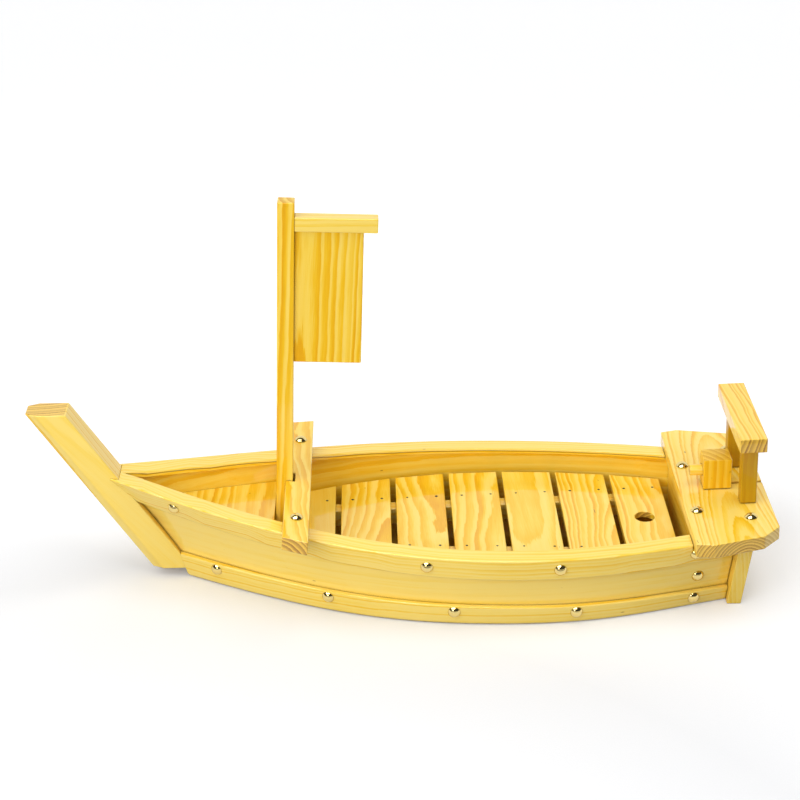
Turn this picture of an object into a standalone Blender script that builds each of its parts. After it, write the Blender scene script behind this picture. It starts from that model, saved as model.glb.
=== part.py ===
"""Sushi boat in varnished pine: a raked stem, bent planks, a stern deck, a lift-out slatted floor and a mast.

Metres, +Z up. The bow points to -X and port is -Y. The origin is on the ground under the middle of the boat.
"""

import math

import bmesh
import bpy
import numpy as np
from mathutils import Matrix, Vector

# Whole boat
LENGTH = 0.650
GAP = 0.0003
EDGE_RADIUS = 0.001
SLOPE_STEP = 0.001
STATIONS = 30
PLANK_LEVELS = 9
SETTLING_TURNS = 4

# Rail line in plan, over the rails, and its height, lowest aft of the middle
BEAM = 0.222
BEAM_FROM_STERN = 0.2355
RAIL_BOW_SLOPE = 0.45
RAIL_BOW_FEATHER = 0.0135
RAIL_BOW_SINK = 0.0021
RAIL_STERN_BEAM = 0.1575
RAIL_STERN_SLOPE = 0.27
RAIL_FULLNESS = (0.31, 0.39, 0.35, 0.34)
SHEER_LOW = 0.0681
SHEER_LOW_FROM_STERN = 0.185
SHEER_BOW_RISE = 0.035
SHEER_STERN_RISE = 0.0028

# Wale line in plan, over the wales at the ground
BOTTOM_BEAM = 0.2066
BOTTOM_BEAM_FROM_STERN = 0.218
WALE_BOW_SLOPE = 0.56
WALE_BOW_FEATHER = 0.0100
BOTTOM_STERN_BEAM = 0.138
WALE_STERN_SLOPE = 0.265
WALE_FULLNESS = (0.39, 0.39, 0.41, 0.33)

# Bent planks, hollow at the bow, with their rails and wales
PLANK = 0.007
BOW_HOLLOW = 0.0075
RAIL_WIDTH = 0.018
RAIL_HEIGHT = 0.0205
RAIL_PROUD = 0.005
RAIL_LIP = 0.0045
RAIL_ROUND = 0.0015
RAIL_FOOT_ROUND = 0.0012
WALE = 0.005
WALE_STERN_HEIGHT = 0.0155
WALE_BOW_HEIGHT = 0.0235
WALE_ROUND = 0.0012
WALE_FOOT_ROUND = 0.003

# Stem post
STEM_TOP = 0.164
STEM_FOOT = 0.008
STEM_RAKE = math.radians(33.0)
STEM_DEPTH = 0.030
STEM_WIDTH = 0.026
STEM_CHAMFER_SIDE = 0.0048
STEM_CHAMFER_BACK = 0.0084

# Bottom board, bearers and transom
BOTTOM = 0.008
BEARER_WIDTH = 0.014
BEARER_FORE_INSET = 0.044
BEARER_AFT_INSET = 0.055
TRANSOM = 0.0125
TRANSOM_FROM_STERN = 0.040
TRANSOM_RAKE = math.radians(4.0)
TRANSOM_OVERLAP = 0.0066

# Stern deck, let into the rails, and the bulkhead under its front edge
DECK = 0.013
DECK_DEPTH = 0.0756
DECK_OVERHANG = 0.0126
DECK_KINK_BACK = 0.0154
DECK_KINK_OUT = 0.0032
DECK_TAPER = 0.0079
DECK_CORNER = 0.0158
KERF = 0.003
BULKHEAD = 0.010
BULKHEAD_SETBACK = 0.0035

# Stern frame, tiller block and peg, set back from the deck's front edge
FRAME_SETBACK = 0.049
LEG_DEPTH = 0.014
LEG_WIDTH = 0.012
LEG_HEIGHT = 0.0581
LEG_SPREAD = 0.054
FRAME_TOP = 0.0133
FRAME_TOP_LAP_FORE = 0.0055
FRAME_TOP_LAP_AFT = 0.004
FRAME_TOP_OVERHANG = 0.0165
BLOCK_SETBACK = 0.0213
BLOCK_DEPTH = 0.025
BLOCK_WIDTH = 0.0224
BLOCK_HEIGHT = 0.029
PEG_DIAMETER = 0.010
PEG_REACH = 0.0113
PEG_SEAT = 0.010

# Mast, its step, yard and sail
MAST = 0.0145
MAST_LENGTH = 0.3457
MAST_FROM_BOW = 0.2197
MAST_LEAN = math.radians(2.2)
MAST_CLEAR = 0.0005
STEP_WALL_X = 0.010
STEP_WALL_Y = 0.015
STEP_HEIGHT = 0.016
YARD = 0.0128
YARD_LENGTH = 0.0694
YARD_DROP = 0.0131
SAIL = 0.006
SAIL_WIDTH = 0.0576
SAIL_HEIGHT = 0.1205

# Thwart and foredeck
THWART = 0.0128
THWART_WIDTH = 0.0223
THWART_OVERHANG = 0.028
NOTCH_DEPTH = 0.0065
FOREDECK = 0.006
FOREDECK_DROP = 0.022
FOREDECK_FROM_BOW = 0.122
FOREDECK_CLEAR = 0.001

# Slatted floor
SLAT = 0.006
SLAT_COUNT = 7
SLAT_GAP = 0.005
SLAT_TOP = 0.0461
SLAT_END_CLEAR = 0.0025
FIRST_SLAT_SHARE = 0.70
FLOOR_MAST_CLEAR = 0.0067
FLOOR_DECK_CLEAR = 0.0058
RUNNER_WIDTH = 0.013
RUNNER_HEIGHT = 0.016
RUNNER_FROM_END = 0.0205
RUNNER_INSET = 0.002
FINGER_HOLE = 0.018

# Brass dome nails
NAIL_DIAMETER = 0.011
NAIL_HEIGHT = 0.0033
NAIL_RIM = 0.0005
RAIL_NAIL_FROM_BOW = 0.1263
RAIL_NAILS_FROM_STERN = (0.3044, 0.1910, 0.0723)
WALE_NAIL_FROM_BOW = 0.1605
WALE_NAILS_FROM_STERN = (0.3896, 0.2808, 0.1752, 0.0704)
WALE_NAIL_DROP = 0.0062
PLANK_NAIL_FROM_STERN = 0.0675
PLANK_NAIL_HEIGHT = 0.0305
DECK_FRONT_NAIL_SETBACK = 0.0097
DECK_FRONT_NAIL_PORT = 0.0470
DECK_FRONT_NAIL_STARBOARD = 0.0355
DECK_AFT_NAIL_SETBACK = 0.0540
DECK_AFT_NAIL_PORT = 0.0622
DECK_AFT_NAIL_STARBOARD = 0.0618

# Facets of round pieces and edges
ROUND_SIDES = 24
EDGE_SEGMENTS = 2
NAIL_SIDES = 14
NAIL_RINGS = 4
SMOOTH_ANGLE = math.radians(25.0)

# Linear colours and roughness
PINE = (0.78, 0.50, 0.14)
PINE_PALE = (0.84, 0.58, 0.19)
PINE_DEEP = (0.75, 0.46, 0.11)
VARNISH_ROUGHNESS = 0.35
BRASS = (0.80, 0.58, 0.20)
BRASS_ROUGHNESS = 0.18

BOW = -LENGTH / 2
STERN = LENGTH / 2
SIDES = {"port": -1, "starboard": 1}


def clear_scene():
    for obj in list(bpy.data.objects):
        bpy.data.objects.remove(obj, do_unlink=True)


def collection(name):
    made = bpy.data.collections.new(name)
    bpy.context.scene.collection.children.link(made)
    return made


def finish(name, colour, roughness, metallic=0.0):
    """A Principled material with one colour."""
    made = bpy.data.materials.new(name)
    made.use_nodes = True
    shader = made.node_tree.nodes["Principled BSDF"]
    shader.inputs["Base Color"].default_value = (*colour, 1.0)
    shader.inputs["Roughness"].default_value = roughness
    shader.inputs["Metallic"].default_value = metallic
    return made


def add_object(name, data, parent=None):
    obj = bpy.data.objects.new(name, data)
    PARTS.objects.link(obj)
    obj.parent = parent
    return obj


def add_wood(name, data, parent=None, colour=PINE):
    data.materials.append(finish(name + "_pine", colour, VARNISH_ROUGHNESS))
    return add_object(name, data, parent)


def add_cutter(name, data, matrix):
    obj = bpy.data.objects.new(name, data)
    CUTTERS.objects.link(obj)
    obj.matrix_world = matrix
    obj.hide_render = True
    obj.display_type = "WIRE"
    return obj


def cut(obj, cutter):
    modifier = obj.modifiers.new("cut_" + cutter.name, "BOOLEAN")
    modifier.operation = "DIFFERENCE"
    modifier.solver = "EXACT"
    modifier.object = cutter
    return obj


def round_edges(obj, radius=EDGE_RADIUS):
    modifier = obj.modifiers.new("round_edges", "BEVEL")
    modifier.width = radius
    modifier.segments = EDGE_SEGMENTS
    modifier.limit_method = "ANGLE"
    modifier.angle_limit = SMOOTH_ANGLE
    return obj


def empty(name, matrix):
    """A guide that carries pieces, placed on their joint or on their base."""
    obj = add_object(name, None)
    obj.matrix_world = matrix
    obj.empty_display_size = 0.02
    return obj


def box_mesh(name, size, centre):
    shape = bmesh.new()
    bmesh.ops.create_cube(shape, size=1.0, matrix=Matrix.LocRotScale(Vector(centre), None, Vector(size)))
    mesh = bpy.data.meshes.new(name)
    shape.to_mesh(mesh)
    shape.free()
    return mesh


def smooth_mesh(name, shape):
    """The finished mesh, smooth but for its sharp edges."""
    mesh = bpy.data.meshes.new(name)
    shape.to_mesh(mesh)
    shape.free()
    mesh.shade_smooth()
    mesh.set_sharp_from_angle(angle=SMOOTH_ANGLE)
    return mesh


def rod_mesh(name, radius, length):
    """A rod along +X that begins at the origin."""
    shape = bmesh.new()
    place = Matrix.Translation((length / 2, 0.0, 0.0)) @ Matrix.Rotation(math.pi / 2, 4, "Y")
    bmesh.ops.create_cone(
        shape, cap_ends=True, segments=ROUND_SIDES, radius1=radius, radius2=radius, depth=length, matrix=place
    )
    return smooth_mesh(name, shape)


def loft_mesh(name, sections):
    """A closed solid through sections with the same number of corners, capped at both ends."""
    shape = bmesh.new()
    rings = [[shape.verts.new(corner) for corner in section] for section in sections]
    corners = len(rings[0])
    for ring, following in zip(rings, rings[1:]):
        for i in range(corners):
            j = (i + 1) % corners
            shape.faces.new((ring[i], ring[j], following[j], following[i]))
    shape.faces.new(rings[0])
    shape.faces.new(rings[-1])
    bmesh.ops.recalc_face_normals(shape, faces=shape.faces)
    return smooth_mesh(name, shape)


def flat_board(name, outlines, thickness):
    """A flat board from 2D outlines, the first its edge and the others holes, centred on z = 0."""
    curve = bpy.data.curves.new(name, "CURVE")
    curve.dimensions = "2D"
    curve.fill_mode = "BOTH"
    curve.extrude = thickness / 2
    for outline in outlines:
        spline = curve.splines.new("POLY")
        spline.points.add(len(outline) - 1)
        spline.use_cyclic_u = True
        for point, (x, y) in zip(spline.points, outline):
            point.co = (x, y, 0.0, 1.0)
    drawn = bpy.data.objects.new(name + "_outline", curve)
    shape = bmesh.new()
    shape.from_mesh(bpy.data.meshes.new_from_object(drawn))
    bpy.data.objects.remove(drawn)
    bmesh.ops.remove_doubles(shape, verts=shape.verts, dist=GAP / 10)
    bmesh.ops.dissolve_limit(shape, angle_limit=SMOOTH_ANGLE / 10, verts=shape.verts, edges=shape.edges)
    bmesh.ops.recalc_face_normals(shape, faces=shape.faces)
    return smooth_mesh(name, shape)


def mirrored(half):
    """A whole outline from the half on +Y, walked from front to back."""
    return half + [(x, -y) for x, y in reversed(half)]


def blend(a, b, share):
    return a + (b - a) * share


def stem_back(z):
    """X of the stem's aft face."""
    return BOW + STEM_DEPTH / math.cos(STEM_RAKE) + (STEM_TOP - z) * math.tan(STEM_RAKE)


def plan_line(bow, widest, stern, fullness):
    """Points of a hull edge in plan: two cubic curves that meet at the widest place.

    bow and stern are (x, half breadth, slope), widest is (x, half breadth). Fullness is the reach of the
    curves' handles, from bow to stern, as shares of each curve's length.
    """
    x_bow, half_bow, slope_bow = bow
    x_mid, half = widest
    x_stern, half_stern, slope_stern = stern
    fore = x_mid - x_bow
    rear = x_stern - x_mid
    bow_reach, fore_reach, rear_reach, stern_reach = fullness
    handles = (
        (
            (x_bow, half_bow),
            (x_bow + bow_reach * fore, half_bow + slope_bow * bow_reach * fore),
            (x_mid - fore_reach * fore, half),
            (x_mid, half),
        ),
        (
            (x_mid, half),
            (x_mid + rear_reach * rear, half),
            (x_stern - stern_reach * rear, half_stern + slope_stern * stern_reach * rear),
            (x_stern, half_stern),
        ),
    )
    share = np.linspace(0.0, 1.0, 2 * STATIONS)[:, None]
    weights = ((1 - share) ** 3, 3 * share * (1 - share) ** 2, 3 * share**2 * (1 - share), share**3)
    fore_curve, rear_curve = [sum(w * np.array(p) for w, p in zip(weights, points)) for points in handles]
    before = np.array([[x_bow - fore, half_bow - slope_bow * fore]])
    after = np.array([[x_stern + rear, half_stern - slope_stern * rear]])
    return np.concatenate([before, fore_curve, rear_curve[1:], after])


TRANSOM_X = STERN - TRANSOM_FROM_STERN
RAIL_BOW_X = stem_back(SHEER_LOW + SHEER_BOW_RISE) - RAIL_BOW_FEATHER
RAIL_LINE = plan_line(
    (RAIL_BOW_X, STEM_WIDTH / 2 - RAIL_BOW_SINK, RAIL_BOW_SLOPE),
    (STERN - BEAM_FROM_STERN, BEAM / 2),
    (TRANSOM_X + TRANSOM, RAIL_STERN_BEAM / 2, RAIL_STERN_SLOPE),
    RAIL_FULLNESS,
)
WALE_LINE = plan_line(
    (stem_back(0.0) - WALE_BOW_FEATHER, STEM_WIDTH / 2, WALE_BOW_SLOPE),
    (STERN - BOTTOM_BEAM_FROM_STERN, BOTTOM_BEAM / 2),
    (TRANSOM_X, BOTTOM_STERN_BEAM / 2, WALE_STERN_SLOPE),
    WALE_FULLNESS,
)
SHEER_LOW_X = STERN - SHEER_LOW_FROM_STERN


def half_breadth(line, x):
    return float(np.interp(x, line[:, 0], line[:, 1]))


def sheer(x):
    """Height of the rail's top, a parabola to each side of its lowest place."""
    if x < SHEER_LOW_X:
        return SHEER_LOW + SHEER_BOW_RISE * ((x - SHEER_LOW_X) / (RAIL_BOW_X - SHEER_LOW_X)) ** 2
    return SHEER_LOW + SHEER_STERN_RISE * ((x - SHEER_LOW_X) / (TRANSOM_X - SHEER_LOW_X)) ** 2


def face_half(x, z):
    """Half breadth over the rails and wales, from the wale line up to the rail line.

    The face is straight amidships and hollow towards the stem, deepest halfway up.
    """
    share = z / sheer(x)
    fore = max(0.0, (SHEER_LOW_X - x) / (SHEER_LOW_X - RAIL_BOW_X))
    hollow = BOW_HOLLOW * fore**2 * 4 * share * (1 - share)
    return blend(half_breadth(WALE_LINE, x), half_breadth(RAIL_LINE, x), share) - hollow


def face_slopes(x, z):
    """How fast that half breadth changes along the boat and upward."""
    along = (face_half(x + SLOPE_STEP, z) - face_half(x - SLOPE_STEP, z)) / (2 * SLOPE_STEP)
    upward = (face_half(x, z + SLOPE_STEP) - face_half(x, z - SLOPE_STEP)) / (2 * SLOPE_STEP)
    return along, upward


def hull_half(x, z, outward):
    """Half breadth at a distance outward from the planks' outer face, never past the centre line."""
    along, upward = face_slopes(x, z)
    stretch = math.sqrt(1 + along**2 + upward**2)
    proud = blend(WALE, RAIL_PROUD, z / sheer(x))
    return max(face_half(x, z) + (outward - proud) * stretch, GAP / 2)


def inside_half(x, z):
    """Half breadth left for a piece fitted between the planks."""
    return hull_half(x, z, -PLANK) - GAP


def rail_inner(x):
    """The rail's inner edge as a distance outward, so that its cap lies level and keeps its width in plan."""
    along, upward = face_slopes(x, sheer(x))
    return RAIL_PROUD - RAIL_WIDTH * math.sqrt((1 + along**2) / (1 + along**2 + upward**2))


def between_rails(x):
    """Half breadth left between the rails' lips."""
    return hull_half(x, sheer(x) - RAIL_LIP, rail_inner(x)) - GAP


def transom_front(z):
    return TRANSOM_X + z * math.tan(TRANSOM_RAKE)


DECK_FRONT_X = STERN - DECK_DEPTH
DECK_SLOPE = math.atan2(sheer(TRANSOM_X) - sheer(DECK_FRONT_X), TRANSOM_X - DECK_FRONT_X)


def deck_under(x):
    """Height of the deck's underside, on the planks, where the rails' caps are cut away for it."""
    return sheer(DECK_FRONT_X) - RAIL_LIP + (x - DECK_FRONT_X) * math.tan(DECK_SLOPE)


MAST_FOOT_X = BOW + MAST_FROM_BOW


def mast_centre(z):
    """X of the mast's centre line."""
    return MAST_FOOT_X + (z - BOTTOM) * math.tan(MAST_LEAN)


MAST_HALF_X = MAST / 2 / math.cos(MAST_LEAN)
FLOOR_FRONT_X = mast_centre(SLAT_TOP) + MAST_HALF_X + FLOOR_MAST_CLEAR
FLOOR_AFT_X = DECK_FRONT_X - FLOOR_DECK_CLEAR
SLAT_UNDER = SLAT_TOP - SLAT


def bent_mesh(name, side, start, end, corners):
    """A bent piece from one cross-plane to another, where corners gives (outward, height) at an x.

    The cross-planes lean and the heights follow x, so each corner's x and height are settled by turns.
    """
    sections = []
    for step in range(STATIONS + 1):
        share = step / STATIONS
        section = []
        for index in range(len(corners(0.0))):
            x = blend(start(0.0), end(0.0), share)
            for _ in range(SETTLING_TURNS):
                outward, z = corners(x)[index]
                x = blend(start(z), end(z), share)
            section.append((x, side * hull_half(x, z, outward), z))
        sections.append(section)
    return loft_mesh(name, sections)


def plank_corners(x):
    top = sheer(x) - RAIL_LIP - GAP
    heights = [top * level / (PLANK_LEVELS - 1) for level in range(PLANK_LEVELS)]
    return [(0.0, z) for z in heights] + [(-PLANK, z) for z in reversed(heights)]


def rounded_top(outward, top, radius):
    """An outer top corner as an arc, from the face to the top."""
    turns = [math.pi / 2 * i / EDGE_SEGMENTS for i in range(EDGE_SEGMENTS + 1)]
    return [(outward - radius * (1 - math.cos(t)), top - radius * (1 - math.sin(t))) for t in turns]


def rounded_foot(outward, foot, radius):
    """An outer bottom corner as an arc, from the foot to the face."""
    return [(across, 2 * foot - z) for across, z in reversed(rounded_top(outward, foot, radius))]


def rail_corners(x):
    """An angle section: a cap over the plank's top edge with a leg down its outer face."""
    top = sheer(x)
    inner = rail_inner(x)
    return [
        *rounded_top(RAIL_PROUD, top, RAIL_ROUND),
        (inner, top),
        (inner, top - RAIL_LIP),
        (GAP, top - RAIL_LIP),
        (GAP, top - RAIL_HEIGHT),
        *rounded_foot(RAIL_PROUD, top - RAIL_HEIGHT, RAIL_FOOT_ROUND),
    ]


def wale_top(x):
    """Height of the wale, which widens from the transom to the stem."""
    return blend(WALE_STERN_HEIGHT, WALE_BOW_HEIGHT, (TRANSOM_X - x) / (TRANSOM_X - stem_back(0.0)))


def wale_corners(x):
    top = wale_top(x)
    foot = rounded_foot(WALE, 0.0, WALE_FOOT_ROUND)
    return [(GAP, 0.0), *foot, *rounded_top(WALE, top, WALE_ROUND), (GAP, top)]


def stem_sections(grow, low, high):
    """The stem's section at two heights, wider and deeper by grow, with its two front edges chamfered."""
    half = STEM_WIDTH / 2
    sections = []
    for z in (low, high):
        back = stem_back(z)
        front = back - STEM_DEPTH / math.cos(STEM_RAKE)
        shoulder = front + STEM_CHAMFER_BACK / math.cos(STEM_RAKE)
        tip = half - STEM_CHAMFER_SIDE
        outline = [(back + grow, half + grow), (shoulder, half + grow), (front - grow, tip + grow)]
        outline += [(x, -y) for x, y in reversed(outline)]
        sections.append([(x, y, z) for x, y in outline])
    return sections


def between_planks(name, x_front, x_back, low, high, steps):
    """A board fitted between the planks, with low and high giving its heights at an x."""
    sections = []
    for step in range(steps + 1):
        share = step / steps
        corners = []
        for height in (low, high):
            x = blend(x_front(0.0), x_back(0.0), share)
            z = height(x)
            x = blend(x_front(z), x_back(z), share)
            corners.append((x, inside_half(x, z), z))
        sections.append(corners + [(x, -y, z) for x, y, z in reversed(corners)])
    add_wood(name, loft_mesh(name, sections))


def stem_seat(z):
    return stem_back(z) + GAP


def transom_seat(z):
    return transom_front(z) - GAP


def wale_start(z):
    """X inside the stem, where the wale begins before it is fitted."""
    return stem_back(z) - STEM_DEPTH / 2


def build_hull():
    """The stem, planks, rails and wales; a cutter in the stem's shape fits rails and wales to its sides.

    The rails are given back, for the deck to be let into them.
    """
    rails = []
    round_edges(add_wood("bow_stem", loft_mesh("bow_stem", stem_sections(0.0, STEM_FOOT, STEM_TOP))))
    past = loft_mesh("stem_cutter", stem_sections(GAP, -STEM_DEPTH, STEM_TOP + STEM_DEPTH))
    stem_cutter = add_cutter("stem_cutter", past, Matrix())
    for name, side in SIDES.items():
        plank = bent_mesh("plank_" + name, side, stem_seat, transom_seat, plank_corners)
        add_wood("plank_" + name, plank)
        rail = bent_mesh("rail_" + name, side, lambda z: RAIL_BOW_X, transom_seat, rail_corners)
        rails.append(cut(add_wood("rail_" + name, rail, colour=PINE_PALE), stem_cutter))
        wale = bent_mesh("wale_" + name, side, wale_start, transom_seat, wale_corners)
        cut(add_wood("wale_" + name, wale), stem_cutter)
    return rails


def build_bottom():
    between_planks("bottom_board", stem_seat, transom_seat, lambda x: 0.0, lambda x: BOTTOM, STATIONS)
    bearer_top = SLAT_UNDER - RUNNER_HEIGHT - 2 * GAP
    fore = FLOOR_FRONT_X + BEARER_FORE_INSET
    aft = FLOOR_AFT_X - BEARER_AFT_INSET
    for name, centre in (("bearer_fore", fore), ("bearer_aft", aft)):
        front = centre - BEARER_WIDTH / 2
        between_planks(
            name,
            lambda z, x=front: x,
            lambda z, x=front + BEARER_WIDTH: x,
            lambda x: BOTTOM + GAP,
            lambda x: bearer_top,
            2,
        )


def build_foredeck():
    """A board between the planks ahead of the mast, as steep as the rails above it."""
    front = BOW + FOREDECK_FROM_BOW
    slope = (sheer(front) - sheer(MAST_FOOT_X)) / (front - MAST_FOOT_X)

    def top(x):
        return sheer(MAST_FOOT_X) - FOREDECK_DROP + (x - MAST_FOOT_X) * slope

    aft = mast_centre(top(MAST_FOOT_X) - FOREDECK) - MAST_HALF_X - FOREDECK_CLEAR
    steps = STATIONS // 3
    between_planks("foredeck", lambda z: front, lambda z: aft, lambda x: top(x) - FOREDECK, top, steps)


def build_stern():
    corners = []
    for x_of in (transom_front, lambda z: transom_front(z) + TRANSOM / math.cos(TRANSOM_RAKE)):
        top = deck_under(x_of(sheer(TRANSOM_X))) - GAP
        low_half = half_breadth(WALE_LINE, TRANSOM_X) + TRANSOM_OVERLAP
        top_half = half_breadth(RAIL_LINE, transom_front(top)) + TRANSOM_OVERLAP
        half = [(x_of(0.0), low_half, 0.0), (x_of(top), top_half, top)]
        corners.append(half + [(x, -y, z) for x, y, z in reversed(half)])
    add_wood("transom", loft_mesh("transom", corners), colour=PINE_DEEP)

    sections = []
    for setback in (BULKHEAD_SETBACK, BULKHEAD_SETBACK + BULKHEAD):
        x = DECK_FRONT_X + setback
        half = [(x, inside_half(x, z), z) for z in (BOTTOM + GAP, deck_under(x) - GAP)]
        sections.append(half + [(x, -y, z) for x, y, z in reversed(half)])
    add_wood("stern_bulkhead", loft_mesh("stern_bulkhead", sections))


def build_deck(rails):
    """The stern deck and what stands on it, carried by an empty on the deck's top at its front edge."""
    tilt = Matrix.Rotation(-DECK_SLOPE, 4, "Y")
    top = Vector((DECK_FRONT_X, 0.0, deck_under(DECK_FRONT_X))) + tilt @ Vector((0.0, 0.0, DECK))
    base = empty("deck_top", Matrix.Translation(top) @ tilt)

    front_half = half_breadth(RAIL_LINE, DECK_FRONT_X) + DECK_OVERHANG
    side_half = front_half - DECK_TAPER
    block_aft = BLOCK_SETBACK + BLOCK_DEPTH
    half = [
        (0.0, front_half),
        (DECK_KINK_BACK, front_half + DECK_KINK_OUT),
        (DECK_DEPTH - DECK_CORNER, side_half),
        (DECK_DEPTH, side_half - DECK_CORNER),
        (DECK_DEPTH, KERF / 2),
        (block_aft, KERF / 2),
    ]
    deck = round_edges(add_wood("stern_deck", flat_board("stern_deck", [mirrored(half)], DECK), base))
    deck.location.z = -DECK / 2
    housing_size = (DECK_DEPTH, BEAM, DECK + GAP)
    housing_middle = (DECK_DEPTH / 2 - GAP, 0.0, -housing_size[2] / 2)
    housing_mesh = box_mesh("deck_housing", housing_size, housing_middle)
    housing = add_cutter("deck_housing", housing_mesh, base.matrix_world)
    for rail in rails:
        cut(rail, housing)

    leg_y = LEG_SPREAD / 2 + LEG_WIDTH / 2
    frame_x = FRAME_SETBACK + LEG_DEPTH / 2
    leg_mesh = box_mesh("frame_leg", (LEG_DEPTH, LEG_WIDTH, LEG_HEIGHT), (0.0, 0.0, LEG_HEIGHT / 2))
    for name, side in SIDES.items():
        leg = round_edges(add_wood("frame_leg_" + name, leg_mesh.copy(), base))
        leg.location = (frame_x, side * leg_y, GAP)
    top_depth = FRAME_TOP_LAP_FORE + LEG_DEPTH + FRAME_TOP_LAP_AFT
    top_size = (top_depth, 2 * leg_y + LEG_WIDTH + 2 * FRAME_TOP_OVERHANG, FRAME_TOP)
    top_middle = (FRAME_TOP_LAP_AFT - FRAME_TOP_LAP_FORE) / 2
    top_mesh = box_mesh("frame_top", top_size, (top_middle, 0.0, FRAME_TOP / 2))
    board = round_edges(add_wood("frame_top", top_mesh, base))
    board.location = (frame_x, 0.0, LEG_HEIGHT + 2 * GAP)

    block_size = (BLOCK_DEPTH, BLOCK_WIDTH, BLOCK_HEIGHT)
    block_mesh = box_mesh("tiller_block", block_size, (BLOCK_DEPTH / 2, 0.0, BLOCK_HEIGHT / 2))
    block = round_edges(add_wood("tiller_block", block_mesh, base, PINE_DEEP))
    block.location = (BLOCK_SETBACK, 0.0, GAP)
    peg_place = (BLOCK_SETBACK - PEG_REACH, 0.0, GAP + BLOCK_HEIGHT / 2)
    peg_length = PEG_REACH + PEG_SEAT
    peg = add_wood("tiller_peg", rod_mesh("tiller_peg", PEG_DIAMETER / 2, peg_length), base)
    peg.location = peg_place
    bore = rod_mesh("peg_bore", PEG_DIAMETER / 2 + GAP, peg_length + GAP)
    cut(block, add_cutter("peg_bore", bore, base.matrix_world @ Matrix.Translation(peg_place)))

    nails = (
        ("front_port", DECK_FRONT_NAIL_SETBACK, -DECK_FRONT_NAIL_PORT),
        ("front_starboard", DECK_FRONT_NAIL_SETBACK, DECK_FRONT_NAIL_STARBOARD),
        ("aft_port", DECK_AFT_NAIL_SETBACK, -DECK_AFT_NAIL_PORT),
        ("aft_starboard", DECK_AFT_NAIL_SETBACK, DECK_AFT_NAIL_STARBOARD),
    )
    for name, x, y in nails:
        add_nail("nail_deck_" + name, base.matrix_world @ Matrix.Translation((x, y, GAP)))


def build_mast():
    """The mast, yard and sail, which lift out together along the mast: their empty is at the mast's foot."""
    lean = Matrix.Rotation(MAST_LEAN, 4, "Y")
    foot = empty("mast_heel", Matrix.Translation((MAST_FOOT_X, 0.0, BOTTOM + 2 * GAP)) @ lean)
    mast_mesh = box_mesh("mast", (MAST, MAST, MAST_LENGTH), (0.0, 0.0, MAST_LENGTH / 2))
    round_edges(add_wood("mast", mast_mesh, foot))
    face = MAST / 2 + GAP
    yard_under = MAST_LENGTH - YARD_DROP - YARD
    yard_mesh = box_mesh("yard", (YARD_LENGTH, YARD, YARD), (YARD_LENGTH / 2, 0.0, YARD / 2))
    yard = round_edges(add_wood("yard", yard_mesh, foot))
    yard.location = (face, 0.0, yard_under)
    sail_size = (SAIL_WIDTH, SAIL, SAIL_HEIGHT)
    sail_mesh = box_mesh("sail_panel", sail_size, (SAIL_WIDTH / 2, 0.0, -SAIL_HEIGHT / 2))
    sail = round_edges(add_wood("sail_panel", sail_mesh, foot))
    sail.location = (face, 0.0, yard_under - GAP)

    socket = MAST + 2 * MAST_CLEAR
    step_size = (socket + 2 * STEP_WALL_X, socket + 2 * STEP_WALL_Y, STEP_HEIGHT)
    step = add_wood("mast_step", box_mesh("mast_step", step_size, (0.0, 0.0, STEP_HEIGHT / 2)))
    step.location = (MAST_FOOT_X, 0.0, BOTTOM + GAP)
    socket_mesh = box_mesh("mast_socket", (socket, socket, MAST_LENGTH), (0.0, 0.0, 0.0))
    cut(step, add_cutter("mast_socket", socket_mesh, foot.matrix_world))


def build_thwart():
    """The cross-board on the rails, with a notch in its front edge that the mast stands in."""
    front = mast_centre(SHEER_LOW) + MAST_HALF_X - NOTCH_DEPTH
    x = front + THWART_WIDTH / 2
    tilt = math.atan2(sheer(x - SLOPE_STEP) - sheer(x + SLOPE_STEP), 2 * SLOPE_STEP)
    width = THWART_WIDTH / 2
    edges = (x - width, x + width)
    front_half, aft_half = [half_breadth(RAIL_LINE, edge) + THWART_OVERHANG for edge in edges]
    mast_top_face = mast_centre(sheer(x) + THWART) + MAST_HALF_X - THWART * math.sin(tilt)
    notch_x = max(mast_centre(sheer(x)) + MAST_HALF_X, mast_top_face) + 2 * MAST_CLEAR - x
    notch_y = MAST / 2 + MAST_CLEAR
    outline = mirrored([(notch_x, notch_y), (-width, notch_y), (-width, front_half), (width, aft_half)])
    place = Matrix.Translation((x, 0.0, sheer(x) + GAP)) @ Matrix.Rotation(tilt, 4, "Y")
    board = round_edges(add_wood("thwart", flat_board("thwart", [outline], THWART)))
    board.matrix_world = place @ Matrix.Translation((0.0, 0.0, THWART / 2))
    nail_half = hull_half(x, sheer(x), RAIL_PROUD - RAIL_WIDTH / 2)
    for name, side in SIDES.items():
        add_nail("nail_thwart_" + name, place @ Matrix.Translation((0.0, side * nail_half, THWART + GAP)))


def slat_end(x):
    """Half length of a slat at x, short enough to clear the planks and to pass up between the rails."""
    return min(between_rails(x), inside_half(x, SLAT_UNDER)) - SLAT_END_CLEAR


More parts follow.
